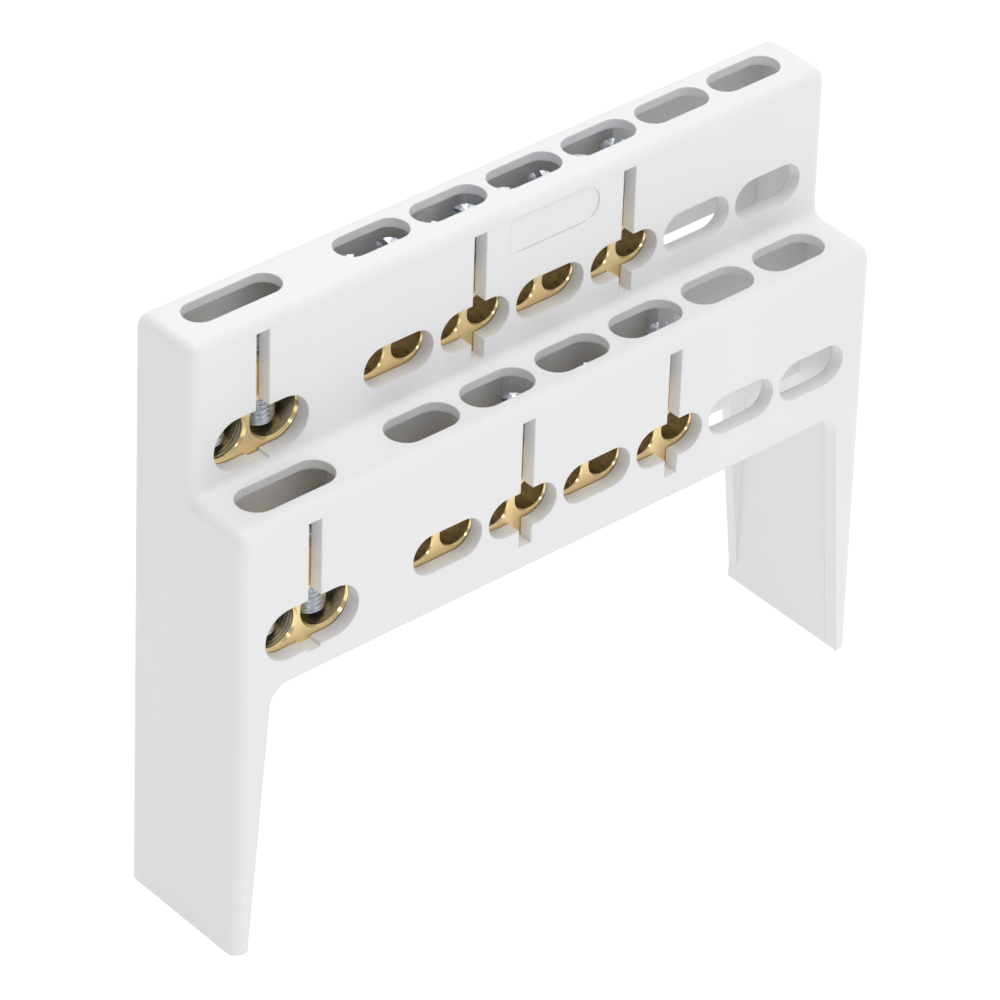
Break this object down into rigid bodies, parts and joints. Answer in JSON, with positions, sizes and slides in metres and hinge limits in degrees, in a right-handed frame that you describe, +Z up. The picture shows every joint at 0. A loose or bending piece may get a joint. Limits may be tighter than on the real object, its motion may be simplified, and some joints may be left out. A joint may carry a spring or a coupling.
{
  "type": "terminal bar",
  "caption": "Two-tier terminal bar: a moulded holder on two end legs carries two drilled brass bars, with a clamp screw above each wire hole.",
  "frame": {"origin": "centre of the feet's outline, at the height of the feet's undersides", "axes": "+X along the holder, +Y from the front to the back, +Z up"},
  "size_m": [0.1118, 0.0228, 0.0919],
  "materials": {
    "housing": "light grey moulding, fine satin texture",
    "bar": "plain drilled brass",
    "screw": "bright zinc"
  },
  "bodies": {
    "holder": {"terminal_holder": "housing", "terminal_holder_bay": "housing", "upper_terminal_bar": "bar", "lower_terminal_bar": "bar"},
    "upper_clamp_screw_1": {"upper_clamp_screw_1": "screw"},
    "upper_clamp_screw_2": {"upper_clamp_screw_2": "screw"},
    "upper_clamp_screw_3": {"upper_clamp_screw_3": "screw"},
    "upper_clamp_screw_4": {"upper_clamp_screw_4": "screw"},
    "upper_clamp_screw_5": {"upper_clamp_screw_5": "screw"},
    "upper_clamp_screw_6": {"upper_clamp_screw_6": "screw"},
    "upper_clamp_screw_7": {"upper_clamp_screw_7": "screw"},
    "upper_clamp_screw_8": {"upper_clamp_screw_8": "screw"},
    "lower_clamp_screw_1": {"lower_clamp_screw_1": "screw"},
    "lower_clamp_screw_2": {"lower_clamp_screw_2": "screw"},
    "lower_clamp_screw_3": {"lower_clamp_screw_3": "screw"},
    "lower_clamp_screw_4": {"lower_clamp_screw_4": "screw"},
    "lower_clamp_screw_5": {"lower_clamp_screw_5": "screw"},
    "lower_clamp_screw_6": {"lower_clamp_screw_6": "screw"},
    "lower_clamp_screw_7": {"lower_clamp_screw_7": "screw"},
    "lower_clamp_screw_8": {"lower_clamp_screw_8": "screw"},
    "upper_main_screw_1": {"upper_main_screw_1": "screw"},
    "upper_main_screw_2": {"upper_main_screw_2": "screw"},
    "lower_main_screw_1": {"lower_main_screw_1": "screw"},
    "lower_main_screw_2": {"lower_main_screw_2": "screw"}
  },
  "joints": [
    {"name": "upper_clamp_screw_1_travel", "type": "slide", "parent": "holder", "child": "upper_clamp_screw_1", "axis": [0, 0, 1], "range_m": [-0.0058, 0.0013]},
    {"name": "upper_clamp_screw_2_travel", "type": "slide", "parent": "holder", "child": "upper_clamp_screw_2", "axis": [0, 0, 1], "range_m": [-0.0058, 0.0013]},
    {"name": "upper_clamp_screw_3_travel", "type": "slide", "parent": "holder", "child": "upper_clamp_screw_3", "axis": [0, 0, 1], "range_m": [-0.0058, 0.0013]},
    {"name": "upper_clamp_screw_4_travel", "type": "slide", "parent": "holder", "child": "upper_clamp_screw_4", "axis": [0, 0, 1], "range_m": [-0.0058, 0.0013]},
    {"name": "upper_clamp_screw_5_travel", "type": "slide", "parent": "holder", "child": "upper_clamp_screw_5", "axis": [0, 0, 1], "range_m": [-0.0058, 0.0013]},
    {"name": "upper_clamp_screw_6_travel", "type": "slide", "parent": "holder", "child": "upper_clamp_screw_6", "axis": [0, 0, 1], "range_m": [-0.0058, 0.0013]},
    {"name": "upper_clamp_screw_7_travel", "type": "slide", "parent": "holder", "child": "upper_clamp_screw_7", "axis": [0, 0, 1], "range_m": [-0.0058, 0.0013]},
    {"name": "upper_clamp_screw_8_travel", "type": "slide", "parent": "holder", "child": "upper_clamp_screw_8", "axis": [0, 0, 1], "range_m": [-0.0058, 0.0013]},
    {"name": "lower_clamp_screw_1_travel", "type": "slide", "parent": "holder", "child": "lower_clamp_screw_1", "axis": [0, 0, 1], "range_m": [-0.00442, 0.00235]},
    {"name": "lower_clamp_screw_2_travel", "type": "slide", "parent": "holder", "child": "lower_clamp_screw_2", "axis": [0, 0, 1], "range_m": [-0.00442, 0.00235]},
    {"name": "lower_clamp_screw_3_travel", "type": "slide", "parent": "holder", "child": "lower_clamp_screw_3", "axis": [0, 0, 1], "range_m": [-0.00567, 0.0011]},
    {"name": "lower_clamp_screw_4_travel", "type": "slide", "parent": "holder", "child": "lower_clamp_screw_4", "axis": [0, 0, 1], "range_m": [-0.00567, 0.0011]},
    {"name": "lower_clamp_screw_5_travel", "type": "slide", "parent": "holder", "child": "lower_clamp_screw_5", "axis": [0, 0, 1], "range_m": [-0.00497, 0.0018]},
    {"name": "lower_clamp_screw_6_travel", "type": "slide", "parent": "holder", "child": "lower_clamp_screw_6", "axis": [0, 0, 1], "range_m": [-0.00497, 0.0018]},
    {"name": "lower_clamp_screw_7_travel", "type": "slide", "parent": "holder", "child": "lower_clamp_screw_7", "axis": [0, 0, 1], "range_m": [-0.00607, 0.0007]},
    {"name": "lower_clamp_screw_8_travel", "type": "slide", "parent": "holder", "child": "lower_clamp_screw_8", "axis": [0, 0, 1], "range_m": [-0.00607, 0.0007]},
    {"name": "upper_main_screw_1_travel", "type": "slide", "parent": "holder", "child": "upper_main_screw_1", "axis": [0, 0, 1], "range_m": [-0.0001, 0.0045]},
    {"name": "upper_main_screw_2_travel", "type": "slide", "parent": "holder", "child": "upper_main_screw_2", "axis": [0, 0, 1], "range_m": [-0.0001, 0.0045]},
    {"name": "lower_main_screw_1_travel", "type": "slide", "parent": "holder", "child": "lower_main_screw_1", "axis": [0, 0, 1], "range_m": [-0.0002, 0.005]},
    {"name": "lower_main_screw_2_travel", "type": "slide", "parent": "holder", "child": "lower_main_screw_2", "axis": [0, 0, 1], "range_m": [-0.0002, 0.005]}
  ]
}
